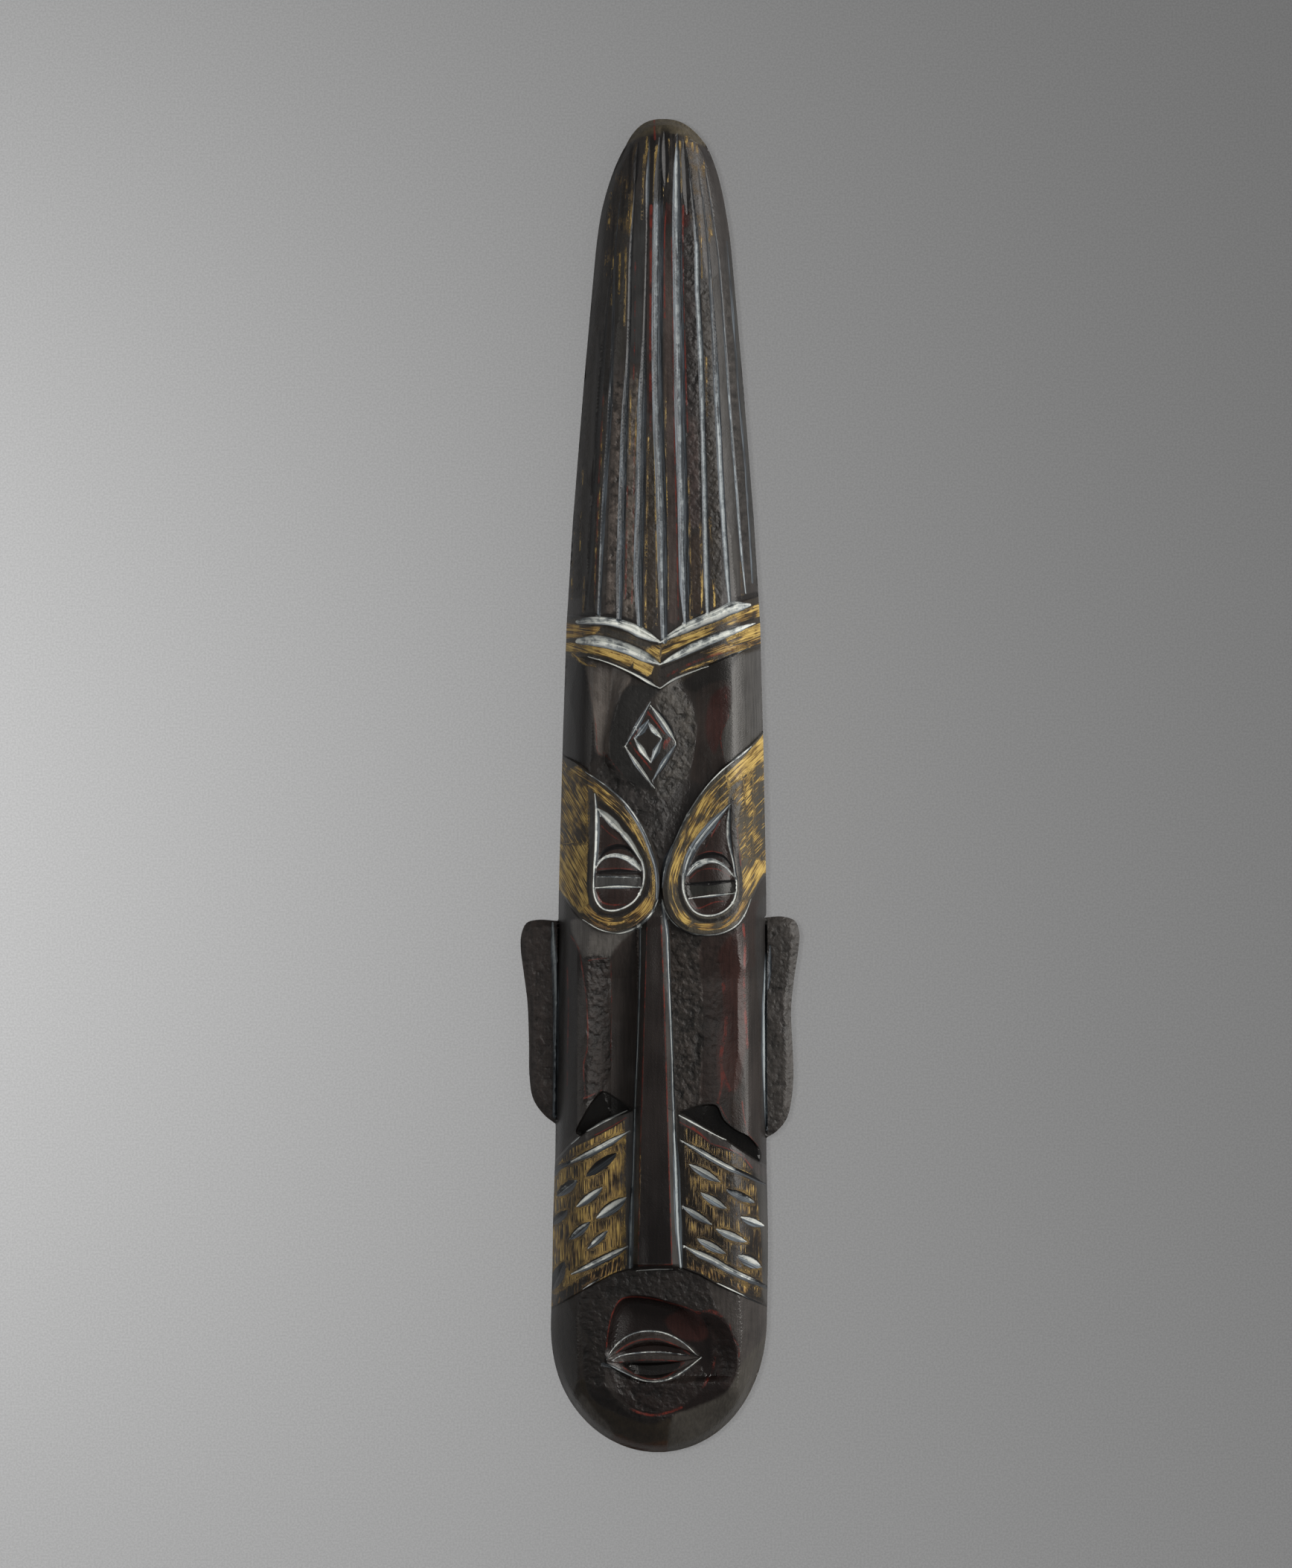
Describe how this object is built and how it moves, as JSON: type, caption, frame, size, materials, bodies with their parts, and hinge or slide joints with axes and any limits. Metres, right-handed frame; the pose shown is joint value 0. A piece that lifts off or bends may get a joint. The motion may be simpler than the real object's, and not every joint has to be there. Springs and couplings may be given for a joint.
{
  "type": "carved wall mask",
  "caption": "Long carved wooden wall mask with a tall fluted headdress, chevron band, teardrop eyes, chip-carved cheeks, flat ears and a trough in its flat back.",
  "frame": {"origin": "middle of the mask's outline, on the flat back plane it lies on", "axes": "+X across the face towards the picture's right, +Y from chin to crown, +Z out of the face"},
  "size_m": [0.1051, 0.5, 0.0376],
  "materials": {
    "lacquered_wood": "dark brown to black lacquer with a soft sheen, worn to red-brown on the edges, white paint in the cuts and gold dry-brushed on the raised bands"
  },
  "bodies": {
    "root": {"mask": "lacquered_wood"}
  },
  "joints": []
}
